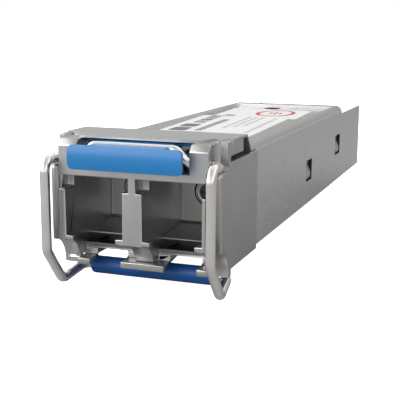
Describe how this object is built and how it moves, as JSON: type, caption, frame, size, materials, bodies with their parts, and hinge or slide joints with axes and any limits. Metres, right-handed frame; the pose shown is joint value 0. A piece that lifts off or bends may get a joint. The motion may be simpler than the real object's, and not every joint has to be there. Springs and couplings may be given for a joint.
{
  "type": "optical transceiver module",
  "caption": "Pluggable optical transceiver with a duplex fibre port, die-cast nose, sheet-metal cover, edge connector and a wire bail that works its latch actuator.",
  "frame": {"origin": "middle of the module's width, on the underside of the part that slides into a cage, in the plane of the shoulder where the wider nose begins", "axes": "+Y towards the edge connector, the way the module is pushed into a cage; +Z towards the latch side; +X to the right seen from the ports"},
  "size_m": [0.0138, 0.058, 0.0117],
  "materials": {
    "die_casting": "bead-blasted nickel-plated zinc die casting",
    "head_plate": "satin pressed sheet",
    "cover_sheet": "satin nickel-plated pressed sheet",
    "steel_pin": "darkened steel dowel",
    "label_film": "white polyester label",
    "bail_wire": "polished stainless spring wire",
    "bail_sleeve": "dark blue moulded sleeve",
    "actuator": "blue moulded nylon",
    "barrel_steel": "turned stainless steel",
    "ceramic": "polished zirconia",
    "black_plastic": "black moulded plastic",
    "can_steel": "drawn nickel can",
    "gold": "gold plating",
    "lens_glass": "clear lens",
    "polyimide": "amber polyimide film",
    "retainer": "black glass-filled nylon",
    "board": "green solder mask on glass laminate",
    "chip": "black epoxy package",
    "crystal_can": "nickel lid",
    "capacitor": "tan ceramic",
    "resistor": "black film on ceramic",
    "inductor": "grey ferrite",
    "gap_pad": "soft silicone gap pad"
  },
  "bodies": {
    "root": {"base_casting": "die_casting", "latch_cap": "die_casting", "cap_plate": "head_plate", "cap_pins": "steel_pin", "top_cover": "cover_sheet", "label": "label_film", "tosa_barrel": "barrel_steel", "tosa_split_sleeve": "ceramic", "tosa_fibre_stub": "ceramic", "tosa_collar": "black_plastic", "tosa_can": "can_steel", "tosa_header": "gold", "tosa_leads": "gold", "rosa_barrel": "barrel_steel", "rosa_lens": "lens_glass", "rosa_collar": "black_plastic", "rosa_can": "can_steel", "rosa_header": "gold", "rosa_leads": "gold", "optics_retainer": "retainer", "tosa_flex": "polyimide", "rosa_flex": "polyimide", "circuit_board": "board", "upper_contacts": "gold", "lower_contacts": "gold", "laser_driver": "chip", "receiver_amplifier": "chip", "controller": "chip", "memory_chip": "chip", "crystal": "crystal_can", "capacitors": "capacitor", "resistors": "resistor", "inductors": "inductor", "thermal_pad": "gap_pad"},
    "bail": {"bail_wire": "bail_wire", "bail_sleeve": "bail_sleeve"},
    "actuator": {"actuator": "actuator"}
  },
  "joints": [
    {"name": "bail_swing", "type": "hinge", "parent": "root", "child": "bail", "pos_m": [0, -0.0084, 0.00775], "axis": [-1, 0, 0], "range_deg": [0, 90]},
    {"name": "actuator_slide", "type": "slide", "parent": "root", "child": "actuator", "axis": [0, 1, 0], "range_m": [0, 0.00145]}
  ],
  "couplings": [
    {"joint": "bail_swing", "follows": "actuator_slide", "rad_per_m": 1083.3}
  ]
}
